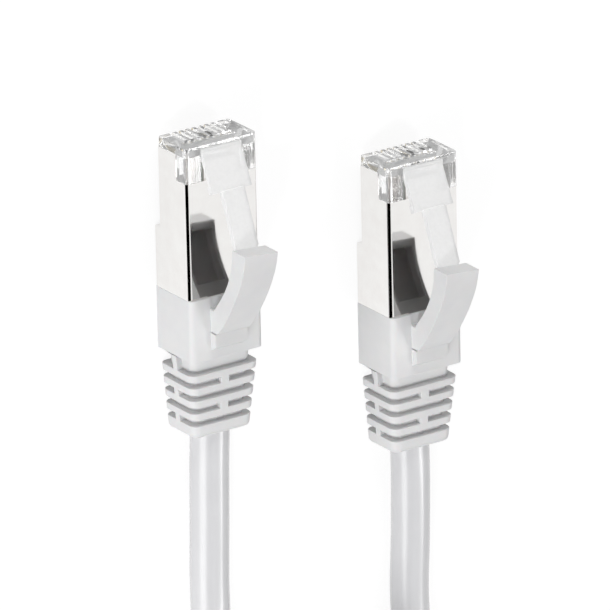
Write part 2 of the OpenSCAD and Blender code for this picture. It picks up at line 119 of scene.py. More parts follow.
def camera_axes():
    """The picture's right, its up, and the way from the target to the camera."""
    away = Vector((
        math.sin(CAMERA_AZIMUTH) * math.cos(CAMERA_ELEVATION),
        -math.cos(CAMERA_AZIMUTH) * math.cos(CAMERA_ELEVATION),
        math.sin(CAMERA_ELEVATION),
    ))
    level_up = (Vector((0, 0, 1)) - away.z * away).normalized()
    level_right = level_up.cross(away)
    up = math.cos(CAMERA_ROLL) * level_up + math.sin(CAMERA_ROLL) * level_right
    return up.cross(away), up, away


RIGHT, UP, AWAY = camera_axes()
bpy.ops.object.camera_add()
camera = bpy.context.object
camera.name = "camera"
camera.matrix_world = Matrix.Translation(CAMERA_TARGET + CAMERA_DISTANCE * AWAY) @ Matrix(
    (RIGHT, UP, AWAY)).transposed().to_4x4()
camera.data.sensor_width = 36
camera.data.lens = CAMERA_LENS
camera.data.clip_start = 0.1
camera.data.clip_end = 20
bpy.context.scene.camera = camera
print("camera", [round(v, 3) for v in camera.location])

# %% [markdown]
# ## Cord
# A cord is a fixed length of something flexible, so it is one curve with a round
# section and not a row of pipes. It leaves boot a, sinks to the floor, is wound into
# a coil of two layers, and comes back into boot b. The few points of the free runs
# are listed, and the coil's turns follow a formula.

# %% Cord route
EXIT_DROP = 0.4
RUN_A = [(16.7, 22, 3.6), (16.8, 31, 3.4), (16.9, 39, 3.2), (17.0, 45, 3.4), (17.9, 51, 4.9)]
RUN_B = [(-16.5, 32, 3.8), (-16.5, 41, 3.5), (-16.5, 50, 3), (-17.3, 57, 2.8)]
COIL_X, COIL_Y = 5, 87
COIL_RADIUS = 34.5
COIL_START = -53
COIL_TURNS = 4.746
COIL_BASE = 2.8
LOOP_STEP = 5.95
RAMP_DROP = 1.8
RAMP_TURNS = 0.25
CLIMB_TURNS = 0.5
RINGS_PER_LOOP = 24
RUN_STEPS = 3
SHORT_TURN = 0.001


def coil_point(u):
    """The coil's centreline after u turns: it spirals in on top and out below."""
    angle = math.radians(COIL_START + 360 * u)
    radius = COIL_RADIUS - LOOP_STEP * min(u, COIL_TURNS - u)
    share = min(1, max(0, (u - COIL_TURNS / 2) / CLIMB_TURNS + 0.5))
    layer = 0.5 + 0.5 * math.cos(math.pi * share)
    drop = RAMP_DROP * max(0, 1 - u / RAMP_TURNS) ** 2
    return Vector((COIL_X + radius * math.cos(angle), COIL_Y + radius * math.sin(angle),
                   COIL_BASE + LOOP_STEP * layer - drop))


def smooth_route(points, steps):
    """More points on a smooth curve through the given ones."""
    route = []
    for i in range(len(points) - 1):
        a, b = points[max(i - 1, 0)], points[i]
        c, d = points[i + 1], points[min(i + 2, len(points) - 1)]
        for k in range(steps):
            t = k / steps
            route.append(b + (c - a) / 2 * t + (2 * a - 5 * b + 4 * c - d) / 2 * t ** 2
                         + (3 * b - a - 3 * c + d) / 2 * t ** 3)
    return route


def cord_route():
    """The whole cord from boot a to boot b, in metres."""
    rings = round(COIL_TURNS * RINGS_PER_LOOP)
    coil = [coil_point(COIL_TURNS * i / rings) for i in range(rings + 1)]
    way_in = (coil_point(SHORT_TURN) - coil_point(0)).normalized()
    way_out = (coil_point(COIL_TURNS) - coil_point(COIL_TURNS - SHORT_TURN)).normalized()
    coil = [coil[0] - CORD_D * way_in] + coil + [coil[-1] + CORD_D * way_out]
    exits = [ORIGIN[side] / MM + Vector((0, PLUG_LEN, CORD_Z - EXIT_DROP)) for side in SIDES]
    run_a = [exits[0]] + [Vector(p) for p in RUN_A] + [coil[0]]
    run_b = [exits[1]] + [Vector(p) for p in RUN_B] + [coil[-1]]
    back = smooth_route(run_b, RUN_STEPS)[::-1]
    return [p * MM for p in smooth_route(run_a, RUN_STEPS) + coil + back]


# %% Cord curve
def make_cord(route):
    data = bpy.data.curves.new("cord", "CURVE")
    data.dimensions = "3D"
    spline = data.splines.new("BEZIER")
    spline.bezier_points.add(len(route) - 1)
    for point, place in zip(spline.bezier_points, route):
        point.co = place
        point.handle_left_type = point.handle_right_type = "AUTO"
        point.radius = CORD_D * MM / 2
    data.resolution_u = 4
    data.bevel_depth = 1.0
    data.bevel_resolution = 8
    data.use_fill_caps = True
    piece = bpy.data.objects.new("cord", data)
    bpy.context.collection.objects.link(piece)
    return piece


ROUTE = cord_route()
cord = make_cord(ROUTE)
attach(cord, "cable")
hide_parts("cable_run_a", "cable_coil", "cable_run_b")
print("cord: points", len(ROUTE))

# %% [markdown]
# ## Small tools
# Every shape starts as a primitive. In edit mode an operator works on what is
# selected, so one helper selects edges or faces by their place, and each helper
# leaves the object selected alone. An edge counts as along an axis when the cosine
# between them is over STRAIGHT, and as on a plane when it is less than NEAR from it.

# %% Modelling helpers
STRAIGHT = 0.9
NEAR = 0.01
ROD_SIDES = 48


def alone(obj):
    """Selects this object and nothing else."""
    bpy.ops.object.select_all(action="DESELECT")
    obj.select_set(True)
    bpy.context.view_layer.objects.active = obj
    return obj


def pick(obj, kind, test):
    """Goes into edit mode with those edges or faces selected that pass the test."""
    alone(obj)
    bpy.ops.object.mode_set(mode="EDIT")
    bpy.ops.mesh.select_mode(type="EDGE" if kind == "edges" else "FACE")
    bpy.ops.mesh.select_all(action="DESELECT")
    mesh = bmesh.from_edit_mesh(obj.data)
    for part in getattr(mesh, kind):
        centre = sum((v.co for v in part.verts), Vector()) / len(part.verts)
        part.select_set(bool(test(part, centre)))
    mesh.select_flush_mode()
    bmesh.update_edit_mesh(obj.data)


def done():
    bpy.ops.object.mode_set(mode="OBJECT")


def box(name, low, high):
    """A cube primitive from its low corner to its high one."""
    low, high = Vector(low), Vector(high)
    bpy.ops.mesh.primitive_cube_add(size=1, location=(low + high) / 2, scale=high - low)
    obj = bpy.context.object
    obj.name = name
    bpy.ops.object.transform_apply(location=True, rotation=True, scale=True)
    return obj


def round_edges(obj, test, radius, steps):
    pick(obj, "edges", test)
    bpy.ops.mesh.bevel(offset=radius, segments=steps, affect="EDGES", clamp_overlap=True)
    done()
    return obj


def along(axis, where):
    """A test for edges that run along the axis (0, 1 or 2) and whose centre passes where."""
    def test(edge, centre):
        way = (edge.verts[1].co - edge.verts[0].co).normalized()
        return abs(way[axis]) > STRAIGHT and where(centre)
    return test


def rod(name, centre, radius, length, axis):
    """A cylinder primitive along the axis, centred on a point."""
    turn = [(0, math.pi / 2, 0), (math.pi / 2, 0, 0), (0, 0, 0)][axis]
    bpy.ops.mesh.primitive_cylinder_add(
        vertices=ROD_SIDES, radius=radius, depth=length, location=centre, rotation=turn)
    obj = bpy.context.object
    obj.name = name
    bpy.ops.object.transform_apply(location=True, rotation=True, scale=True)
    return obj


def modify(obj, kind, **settings):
    """Adds a modifier and applies it at once."""
    alone(obj)
    modifier = obj.modifiers.new(kind.lower(), kind)
    for key, value in settings.items():
        setattr(modifier, key, value)
    bpy.ops.object.modifier_apply(modifier=modifier.name)
    return obj


def combine(obj, tool, operation):
    """Joins the tool to the object or cuts it out, and deletes the tool."""
    modify(obj, "BOOLEAN", operation=operation, solver="EXACT", object=tool)
    bpy.data.objects.remove(tool)
    return obj


def soften(obj, width, steps, angle):
    """Rounds every edge sharper than the angle, and shades smooth below it."""
    modify(obj, "BEVEL", width=width, segments=steps, limit_method="ANGLE",
           angle_limit=math.radians(angle), use_clamp_overlap=True)
    alone(obj)
    bpy.ops.object.shade_smooth_by_angle(angle=math.radians(angle))
    return modify(obj, "WEIGHTED_NORMAL", keep_sharp=True, weight=100, thresh=0.001)


def seat(obj, name, bodies, node, material, bend=None):
    """Sets a copy of a finished shape on each plug, in metres, and hides the CAD node.

    With bend, the piece is left in the world's axes and set on no body; the pair of places
    in the plug's axes that bend holds is not used.
    """
    pieces = []
    for side in SIDES:
        piece = obj.copy()
        piece.data = obj.data.copy()
        piece.name = name + "_" + side
        bpy.context.collection.objects.link(piece)
        alone(piece)
        piece.scale = (MM, MM, MM)
        piece.location = ORIGIN[side]
        bpy.ops.object.transform_apply(location=True, rotation=True, scale=True)
        piece.data.materials.clear()
        piece.data.materials.append(material)
        if bend:
            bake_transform(piece)
        else:
            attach(piece, bodies[side])
        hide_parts(node + "_" + side)
        pieces.append(piece)
    triangles = sum(len(p.vertices) - 2 for p in obj.data.polygons)
    print(name, "triangles", triangles, "on", [bodies[side] for side in SIDES])
    bpy.data.objects.remove(obj)
    return pieces


ON_CABLE = {side: "cable" for side in SIDES}
ON_LATCH = {side: "latch_" + side for side in SIDES}
ON_GUARD = {side: "guard_" + side for side in SIDES}

# %% [markdown]
# ## Materials
# Colours are written as sRGB hex values and turned to linear light by one function.
# One small function adds a shader node with its settings and links. Noise hardly
# leaves the middle of its range, so that part of it is spread over what it drives.

# %% Material helpers
NOISE_RANGE = {"From Min": 0.3, "From Max": 0.7}


def colour(code):
    """A linear colour from an sRGB hex value."""
    parts = [int(code[i:i + 2], 16) / 255 for i in (1, 3, 5)]
    linear = [p / 12.92 if p <= 0.04045 else ((p + 0.055) / 1.055) ** 2.4 for p in parts]
    return (*linear, 1)


def add(tree, kind, inputs=None, **settings):
    """Adds a node; an input is a value or the output socket of another node."""
    node = tree.nodes.new(kind)
    for key, value in settings.items():
        setattr(node, key, value)
    for key, value in (inputs or {}).items():
        if isinstance(value, bpy.types.NodeSocket):
            tree.links.new(value, node.inputs[key])
        else:
            node.inputs[key].default_value = value
    return node


def new_material(name):
    material = bpy.data.materials.new(name)
    material.use_nodes = True
    material.node_tree.nodes.clear()
    return material, material.node_tree


def finish_material(tree, shader):
    add(tree, "ShaderNodeOutputMaterial", {"Surface": shader.outputs[0]})


def per_mm(size):
    """The scale of a pattern whose features are about this size in millimetres."""
    return 1 / (size * MM)


# %% [markdown]
# The boot is soft white PVC, injection moulded in a spark-eroded mould. That leaves a
# fine matt grain all over, and the thick places are very slightly uneven in tone. The
# real grain is a few hundredths of a millimetre wide, too fine to show, so it is drawn
# 0.16 mm wide. Seen in the nickel, all but the faces towards the nose get a painted
# shade, a near black mixed in, so that the arm's image stays darker than the boot.

# %% Moulded white PVC
PAINTED_MIRROR_SHADE = 0.5
TOWARDS_NOSE = -0.9


def moulded_pvc():
    material, tree = new_material("moulded white PVC")
    place = add(tree, "ShaderNodeTexCoord").outputs["Object"]
    cloud = add(tree, "ShaderNodeTexNoise",
                {"Vector": place, "Scale": per_mm(3.0), "Detail": 2}).outputs["Fac"]
    grain = add(tree, "ShaderNodeTexNoise",
                {"Vector": place, "Scale": per_mm(0.16), "Detail": 3}).outputs["Fac"]
    tone = add(tree, "ShaderNodeMapRange", {"Value": cloud, **NOISE_RANGE}).outputs["Result"]
    white = add(tree, "ShaderNodeMix", {0: tone, 6: colour("#e6e6e7"), 7: colour("#eaeaea")},
                data_type="RGBA").outputs[2]
    dullness = add(tree, "ShaderNodeMapRange", {
        "Value": grain, **NOISE_RANGE, "To Min": 0.42, "To Max": 0.56}).outputs["Result"]
    relief = add(tree, "ShaderNodeBump", {
        "Height": grain, "Distance": 0.012 * MM, "Strength": 1.0}).outputs["Normal"]
    shader = add(tree, "ShaderNodeBsdfPrincipled", {
        "Base Color": white,
        "Roughness": dullness,
        "IOR": 1.53,
        "Subsurface Weight": 0.06,
        "Subsurface Scale": 0.001,
        "Normal": relief,
    })
    # Painted shade: to mirrored rays the boot is partly near black, all but its nose-facing faces.
    dark = add(tree, "ShaderNodeBsdfDiffuse", {"Color": colour("#101010")})
    mirrored = add(tree, "ShaderNodeLightPath").outputs["Is Glossy Ray"]
    normal = add(tree, "ShaderNodeNewGeometry").outputs["Normal"]
    way_y = add(tree, "ShaderNodeSeparateXYZ", {0: normal}).outputs["Y"]
    turned_away = add(tree, "ShaderNodeMath", {0: way_y, 1: TOWARDS_NOSE},
                      operation="GREATER_THAN").outputs[0]
    shade = add(tree, "ShaderNodeMath", {0: turned_away, 1: PAINTED_MIRROR_SHADE},
                operation="MULTIPLY").outputs[0]
    painted_shade_share = add(tree, "ShaderNodeMath", {0: mirrored, 1: shade}, operation="MULTIPLY").outputs[0]
    mixed = add(tree, "ShaderNodeMixShader",
                {0: painted_shade_share, 1: shader.outputs[0], 2: dark.outputs[0]})
    finish_material(tree, mixed)
    return material


# %% [markdown]
# The cord's jacket is extruded PVC. It is pulled through a round die, so it is
# smoother and glossier than the boot, and only a faint grain breaks its highlight. A
# clear coat gives the narrow highlight over the broad one.

# %% Extruded PVC jacket
def extruded_pvc():
    material, tree = new_material("extruded pale grey PVC")
    place = add(tree, "ShaderNodeTexCoord").outputs["Object"]
    cloud = add(tree, "ShaderNodeTexNoise",
                {"Vector": place, "Scale": per_mm(6.0), "Detail": 2}).outputs["Fac"]
    grain = add(tree, "ShaderNodeTexNoise",
                {"Vector": place, "Scale": per_mm(0.3), "Detail": 2}).outputs["Fac"]
    tone = add(tree, "ShaderNodeMapRange", {"Value": cloud, **NOISE_RANGE}).outputs["Result"]
    grey = add(tree, "ShaderNodeMix", {0: tone, 6: colour("#dadadc"), 7: colour("#dedee0")},
               data_type="RGBA").outputs[2]
    dullness = add(tree, "ShaderNodeMapRange", {
        "Value": grain, **NOISE_RANGE, "To Min": 0.4, "To Max": 0.46}).outputs["Result"]
    relief = add(tree, "ShaderNodeBump", {
        "Height": grain, "Distance": 0.006 * MM, "Strength": 1.0}).outputs["Normal"]
    shader = add(tree, "ShaderNodeBsdfPrincipled", {
        "Base Color": grey,
        "Roughness": dullness,
        "IOR": 1.54,
        "Coat Weight": 1.0,
        "Coat Roughness": 0.24,
        "Normal": relief,
    })
    finish_material(tree, shader)
    return material


# %% [markdown]
# The shield is thin sheet brass, nickel plated after it is folded. Bright nickel is a
# slightly warm mirror. Handling leaves faint smears in its gloss. Scattered light sees it
# as painted dark grey, a painted shade that keeps the arm's underside dark above it.

# %% Bright nickel plate
def bright_nickel():
    material, tree = new_material("bright nickel plate")
    place = add(tree, "ShaderNodeTexCoord").outputs["Object"]
    smear = add(tree, "ShaderNodeTexNoise",
                {"Vector": place, "Scale": per_mm(2.2), "Detail": 4}).outputs["Fac"]
    wave = add(tree, "ShaderNodeTexNoise",
               {"Vector": place, "Scale": per_mm(5.0), "Detail": 1}).outputs["Fac"]
    tone = add(tree, "ShaderNodeMapRange", {"Value": smear, **NOISE_RANGE}).outputs["Result"]
    silver = add(tree, "ShaderNodeMix", {0: tone, 6: colour("#eceae8"), 7: colour("#f0efed")},
                 data_type="RGBA").outputs[2]
    dullness = add(tree, "ShaderNodeMapRange", {
        "Value": smear, **NOISE_RANGE, "To Min": 0.05, "To Max": 0.1}).outputs["Result"]
    relief = add(tree, "ShaderNodeBump", {
        "Height": wave, "Distance": 0.004 * MM, "Strength": 1.0}).outputs["Normal"]
    shader = add(tree, "ShaderNodeBsdfPrincipled", {
        "Base Color": silver,
        "Metallic": 1.0,
        "Roughness": dullness,
        "Normal": relief,
    })
    # Painted shade: to scattered light the nickel is dark grey, so it passes no light to the arm's
    # underside.
    painted_shade_grey = add(tree, "ShaderNodeBsdfDiffuse", {"Color": colour("#303030")})
    scattered = add(tree, "ShaderNodeLightPath").outputs["Is Diffuse Ray"]
    mixed = add(tree, "ShaderNodeMixShader",
                {0: scattered, 1: shader.outputs[0], 2: painted_shade_grey.outputs[0]})
    finish_material(tree, mixed)
    return material


# %% [markdown]
# The plug's body and its latch are clear polycarbonate. It bends light strongly, and
# the melt's flow leaves faint waves in the surface of such small mouldings. Thin clear
# walls carry light along inside and let it out at their edges; a faint painted glow,
# even over the whole surface, stands in for that. The latch looks milky beside the
# body, so it gets less clearness and more painted glow.

# %% Clear polycarbonate
def clear_polycarbonate(name, clearness, painted_glow):
    """Glass-clear where clearness is 1; less lets white haze show. The last argument is a painted
    glow, even all over.
    """
    material, tree = new_material(name)
    place = add(tree, "ShaderNodeTexCoord").outputs["Object"]
    flow = add(tree, "ShaderNodeTexNoise",
               {"Vector": place, "Scale": per_mm(1.1), "Detail": 2}).outputs["Fac"]
    haze = add(tree, "ShaderNodeTexNoise",
               {"Vector": place, "Scale": per_mm(0.5), "Detail": 2}).outputs["Fac"]
    tone = add(tree, "ShaderNodeMapRange", {"Value": haze, **NOISE_RANGE}).outputs["Result"]
    pale = add(tree, "ShaderNodeMix", {0: tone, 6: colour("#f8f8f8"), 7: colour("#fdfdfd")},
               data_type="RGBA").outputs[2]
    dullness = add(tree, "ShaderNodeMapRange", {
        "Value": haze, **NOISE_RANGE, "To Min": 0.03, "To Max": 0.09}).outputs["Result"]
    relief = add(tree, "ShaderNodeBump", {
        "Height": flow, "Distance": 0.01 * MM, "Strength": 1.0}).outputs["Normal"]
    # Painted glow: the plastic gives off light of its own, though it is no lamp.
    shader = add(tree, "ShaderNodeBsdfPrincipled", {
        "Base Color": pale,
        "Roughness": dullness,
        "IOR": 1.5,
        "Transmission Weight": clearness,
        "Emission Color": (1, 1, 1, 1),
        "Emission Strength": painted_glow,
        "Normal": relief,
    })
    finish_material(tree, shader)
    return material


# %% [markdown]
# Inside the plug, blades of bronze pierce eight thin insulated wires. Gold plating keeps
# the blades bright, with a little wear in the gloss.

# %% Gold plate
def gold_plate():
    material, tree = new_material("gold plated bronze")
    place = add(tree, "ShaderNodeTexCoord").outputs["Object"]
    wear = add(tree, "ShaderNodeTexNoise",
               {"Vector": place, "Scale": per_mm(0.4), "Detail": 3}).outputs["Fac"]
    tone = add(tree, "ShaderNodeMapRange", {"Value": wear, **NOISE_RANGE}).outputs["Result"]
    gold = add(tree, "ShaderNodeMix", {0: tone, 6: colour("#dccfae"), 7: colour("#e6dcc2")},
               data_type="RGBA").outputs[2]
    dullness = add(tree, "ShaderNodeMapRange", {
        "Value": wear, **NOISE_RANGE, "To Min": 0.15, "To Max": 0.3}).outputs["Result"]
    shader = add(tree, "ShaderNodeBsdfPrincipled",
                 {"Base Color": gold, "Metallic": 1.0, "Roughness": dullness})
    finish_material(tree, shader)
    return material


# %% [markdown]
# The wires are copper in coloured polyethylene. Their colours change across the row, so
# one ramp over x gives each its own.

# %% Coloured wires
CONTACT_PITCH = 1.016
WIRE_SHADES = ["#eeeae4", "#d9c6b2", "#e9ece8", "#bcc5d2", "#e8ebee", "#c3cfc1", "#ebe7e4",
               "#c2b7af"]
CONTACT_COUNT = len(WIRE_SHADES)


def wire_insulation(side):
    material, tree = new_material("coloured polyethylene " + side)
    place = add(tree, "ShaderNodeTexCoord").outputs["Object"]
    middle = ORIGIN[side].x
    reach = CONTACT_PITCH * CONTACT_COUNT / 2
    across = add(tree, "ShaderNodeSeparateXYZ", {"Vector": place}).outputs["X"]
    share = add(tree, "ShaderNodeMapRange", {
        "Value": across, "From Min": middle - reach * MM, "From Max": middle + reach * MM,
    }).outputs["Result"]
    bands = add(tree, "ShaderNodeValToRGB", {"Fac": share})
    bands.color_ramp.interpolation = "CONSTANT"
    stops = bands.color_ramp.elements
    for i, shade in enumerate(WIRE_SHADES):
        stop = stops[0] if i == 0 else stops.new(i / CONTACT_COUNT)
        stop.position = i / CONTACT_COUNT
        stop.color = colour(shade)
    stops.remove(stops[-1])
    grain = add(tree, "ShaderNodeTexNoise",
                {"Vector": place, "Scale": per_mm(0.3), "Detail": 2}).outputs["Fac"]
    dullness = add(tree, "ShaderNodeMapRange", {
        "Value": grain, **NOISE_RANGE, "To Min": 0.35, "To Max": 0.5}).outputs["Result"]
    shader = add(tree, "ShaderNodeBsdfPrincipled",
                 {"Base Color": bands.outputs["Color"], "Roughness": dullness})
    finish_material(tree, shader)
    return material


# %% [markdown]
# The cord's screen is a braid of fine tinned copper wires, folded back under the crimp.
# Slanting waves stand in for its strands, drawn coarser than the real ones so that they
# show.

# %% Tinned braid
def tinned_braid():
    material, tree = new_material("tinned copper braid")
    place = add(tree, "ShaderNodeTexCoord").outputs["Object"]
    weave = add(tree, "ShaderNodeTexWave", {
        "Vector": place, "Scale": per_mm(2.0), "Distortion": 2.0,
    }, bands_direction="DIAGONAL").outputs["Fac"]
    metal = add(tree, "ShaderNodeMix", {0: weave, 6: colour("#9b9a97"), 7: colour("#d5d4d1")},
                data_type="RGBA").outputs[2]
    relief = add(tree, "ShaderNodeBump", {
        "Height": weave, "Distance": 0.05 * MM, "Strength": 1.0}).outputs["Normal"]
    shader = add(tree, "ShaderNodeBsdfPrincipled",
                 {"Base Color": metal, "Metallic": 1.0, "Roughness": 0.35, "Normal": relief})
    finish_material(tree, shader)
    return material


# %% Make the materials
PVC = moulded_pvc()
JACKET = extruded_pvc()
NICKEL = bright_nickel()
CLEAR = clear_polycarbonate("clear moulded polycarbonate", 0.95, 0.05)
LATCH_CLEAR = clear_polycarbonate("hazy moulded polycarbonate", 0.35, 0.11)
GOLD = gold_plate()
BRAID = tinned_braid()
cord.data.materials.append(JACKET)


def paint(node, material):
    """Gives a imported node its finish."""
    data = nodes[node].data
    data.materials.clear()
    data.materials.append(material)


for side in SIDES:
    paint("contacts_" + side, GOLD)
    paint("load_bar_" + side, CLEAR)
    paint("conductors_" + side, wire_insulation(side))
    paint("crimp_ferrule_" + side, NICKEL)
    paint("braid_" + side, BRAID)
print("materials:", len(bpy.data.materials))

# %% [markdown]
# ## Shield
# Thin sheet metal, folded round the plug into a box that gets deeper at the rear, where
# the cord's own screen is crimped. A solid block with rounded long edges is hollowed
# out, because that keeps one even wall and one even bend, as folding does. The bend is
# given many small steps: a mirror finish shows every facet. Each cutter reaches PAST the
# metal, so that no cut lies in the plane of a face.

# %% Shield sizes
PAST = 1.0
NOSE_H = 6.85
TOP_Z = HOUSING_HIGH.z
FACE_Z = TOP_Z - NOSE_H
SHEET = 0.25
FIT = 0.05
SKIN = SHEET + FIT
BEND_STEPS = 10
EDGE_R = 0.62
LOW_EDGE_R = 0.25
INNER_R = 0.2
LIP_Y = SHIELD_LOW.y
LIP_R = 0.8
CORNER_LEN = 5.1
CORNER_Z = TOP_Z - 2.3
CAN_Y = 13.2
CAN_Z = SHIELD_LOW.z
TONGUE_W = 5.2
TONGUE_Y = 2.6
TONGUE_Z = TOP_Z - 0.45
WINDOW_Y = 7.4
WINDOW_SIDE = 1.0
SHEET_SOFT = 0.06
SOFT_ANGLE = 35
ROW_W = CONTACT_PITCH * (CONTACT_COUNT - 1)


def bar(name, width, y0, y1, z0, z1, radius, steps=6, under=None):
    """A bar along the plug with round long edges; under is the radius of the lower two."""
    middle = (z0 + z1) / 2
    shape = box(name, (-width / 2, y0, z0), (width / 2, y1, z1))
    round_edges(shape, along(1, lambda c: c.z > middle), radius, steps)
    return round_edges(shape, along(1, lambda c: c.z < z0 + NEAR), under or radius, steps)


def wide_box(name, y0, y1, z0, z1, width=PLUG_W + 2 * PAST):
    """A box across the plug, by default wider than it."""
    return box(name, (-width / 2, y0, z0), (width / 2, y1, z1))


# %% Shield
def shield():
    inner = PLUG_W - 2 * SHEET
    metal = bar("shield", PLUG_W, LIP_Y, CAN_Y + SHEET, FACE_Z, TOP_Z,
                EDGE_R, BEND_STEPS, LOW_EDGE_R)
    can = bar("can", PLUG_W, CAN_Y, BOOT_Y, CAN_Z, TOP_Z, EDGE_R, BEND_STEPS, LOW_EDGE_R)
    combine(metal, can, "UNION")
    hollow = bar("hollow", inner, LIP_Y - PAST, CAN_Y + PAST, FACE_Z + SHEET, TOP_Z - SHEET,
                 INNER_R)
    combine(metal, hollow, "DIFFERENCE")
    hollow = bar("hollow", inner, CAN_Y + SHEET, BOOT_Y + PAST, CAN_Z + SHEET, TOP_Z - SHEET,
                 INNER_R)
    combine(metal, hollow, "DIFFERENCE")
    open_corner = wide_box("open_corner", -PAST, CORNER_LEN, CORNER_Z, TOP_Z + PAST)
    combine(metal, open_corner, "DIFFERENCE")
    lip = wide_box("lip", LIP_Y - PAST, LIP_Y + LIP_R, CORNER_Z - LIP_R, CORNER_Z + PAST)
    lip_round = rod("lip_round", (0, LIP_Y + LIP_R, CORNER_Z - LIP_R), LIP_R, 2 * PLUG_W, 0)
    combine(lip, lip_round, "DIFFERENCE")
    combine(metal, lip, "DIFFERENCE")
    window = wide_box("window", 0, WINDOW_Y, FACE_Z - PAST, FACE_Z + SHEET + FIT,
                      ROW_W + 2 * WINDOW_SIDE)
    combine(metal, window, "DIFFERENCE")
    tongue = wide_box("tongue", TONGUE_Y, CORNER_LEN + SHEET, TONGUE_Z - SHEET, TONGUE_Z,
                      TONGUE_W)
    step = wide_box("step", CORNER_LEN, CORNER_LEN + SHEET, TONGUE_Z - SHEET, TOP_Z, TONGUE_W)
    combine(tongue, step, "UNION")
    combine(metal, tongue, "UNION")
    return soften(metal, SHEET_SOFT, steps=2, angle=SOFT_ANGLE)


SHIELDS = seat(shield(), "folded_shield", ON_CABLE, "shield", NICKEL)

# %% [markdown]
# ## Clear housing
# The plug's body is one injection moulding. Eight slots for the blades open at the nose
# and on the contact face, so the nose ends in a comb of small ribs with round tips. The
# shield leaves the two upper corners open, and they stand out to its outer face.

# %% Housing sizes
BLADE_SLOT = 0.5
BLADE_SLOT_R = 0.5
SLOT_END = 6.45
SLOT_HEIGHT = 3.7
WIRE_D = 0.94
WIRE_Z = FACE_Z + 3.7
WIRE_Y = 1.3
BAR_Y = 6.65
BAR_W = ROW_W + WIRE_D + 1.0
BAR_H = 2.6
BODY_Y = 0.2
CORNER_Y = 0.3
RIB_TIP_R = 0.4
NOSE_R = 0.5
BODY_SOFT = 0.07
LATCH_W = 6.35
LATCH_SIDE = 0.15
KNUCKLE_R = 0.42
HINGE_GAP = 0.14


# %% Housing
def blade_slots(plug):
    """Cuts a slot for each blade into the plug's nose."""
    for i in range(CONTACT_COUNT):
        x = -ROW_W / 2 + i * CONTACT_PITCH
        slot = box("slot", (x - BLADE_SLOT / 2, -PAST, FACE_Z - PAST),
                   (x + BLADE_SLOT / 2, SLOT_END, FACE_Z + SLOT_HEIGHT))
        round_edges(slot, along(0, lambda c: c.y > 0 and c.z > FACE_Z), BLADE_SLOT_R, steps=4)
        combine(plug, slot, "DIFFERENCE")


def housing():
    inner = PLUG_W - 2 * SKIN
    plug = bar("housing", PLUG_W, 0, LIP_Y - FIT, FACE_Z, TOP_Z, EDGE_R)
    round_edges(plug, along(2, lambda c: c.y < FIT), NOSE_R, steps=6)
    round_edges(plug, along(0, lambda c: c.y < FIT and c.z < FACE_Z + FIT), RIB_TIP_R, steps=6)
    body = bar("body", inner, BODY_Y, HOUSING_HIGH.y, FACE_Z + SKIN, TOP_Z - SKIN, INNER_R,
               steps=3)
    combine(plug, body, "UNION")
    rear = bar("rear", inner, CAN_Y + SKIN, HOUSING_HIGH.y, CAN_Z + SKIN, CORD_Z, INNER_R,
               steps=3)
    combine(plug, rear, "UNION")
    corners = box("corners", (-PLUG_W / 2, CORNER_Y, CORNER_Z + FIT),
                  (PLUG_W / 2, CORNER_LEN - FIT, TOP_Z))
    round_edges(corners, along(1, lambda c: c.z > TOP_Z - FIT), EDGE_R, steps=6)
    combine(plug, corners, "UNION")
    recess_w = LATCH_W + 2 * LATCH_SIDE
    recess = wide_box("recess", LATCH_PIVOT.y, CORNER_LEN + SKIN, TONGUE_Z - SKIN, TOP_Z + PAST,
                      recess_w)
    combine(plug, recess, "DIFFERENCE")
    hinge_seat = rod("hinge_seat", LATCH_PIVOT, KNUCKLE_R + HINGE_GAP, recess_w, 0)
    combine(plug, hinge_seat, "DIFFERENCE")
    hinge_mouth = wide_box("hinge_mouth", LATCH_PIVOT.y - KNUCKLE_R - HINGE_GAP,
                           LATCH_PIVOT.y + FIT, LATCH_PIVOT.z, TOP_Z + PAST, recess_w)
    combine(plug, hinge_mouth, "DIFFERENCE")
    wire_row = wide_box("wire_row", WIRE_Y, BAR_Y, WIRE_Z - WIRE_D / 2 - FIT,
                        WIRE_Z + WIRE_D / 2 + FIT, ROW_W + WIRE_D + 2 * FIT)
    combine(plug, wire_row, "DIFFERENCE")
    pocket = wide_box("pocket", BAR_Y - FIT, HOUSING_HIGH.y + PAST, WIRE_Z - BAR_H / 2 - FIT,
                      WIRE_Z + BAR_H / 2 + FIT, BAR_W + 2 * FIT)
    combine(plug, pocket, "DIFFERENCE")
    blade_slots(plug)
    return soften(plug, BODY_SOFT, steps=2, angle=SOFT_ANGLE)


seat(housing(), "clear_housing", ON_CABLE, "plug_housing", CLEAR)

# %% [markdown]
# ## Latch
# A springy clear lever that rises from the nose. Its wide part ends in two shoulders,
# which catch in the jack, and a narrow tail runs on under the guard arm. The lever is
# modelled lying flat, with its hinge at the origin, and is then tilted up to its rest.
# The nickel doesn't mirror it: a clear part's image is only a faint clutter there.

# %% Latch
LATCH_T = 0.72
LATCH_SLOPE = 26
LATCH_LEN = 6.05
SHOULDER_LEN = 1.15
SHOULDER_DROP = 0.74
TAIL_W = 3.6
TAIL_T = 0.9
TAIL_STEP = 0.3
TAIL_LEN = 8.9
TAIL_SLOPE = 22.5
TAIL_CUT = 0.5
TAIL_RAKE = 0.35
LATCH_SOFT = 0.13
TAIL_Y = LATCH_LEN - 0.4


def tilt(obj, degrees, place):
    """Turns a shape up about the x axis through the origin, then moves it to its place."""
    alone(obj)
    obj.rotation_euler = (math.radians(degrees), 0, 0)
    obj.location = place
    bpy.ops.object.transform_apply(location=True, rotation=True, scale=True)
    return obj


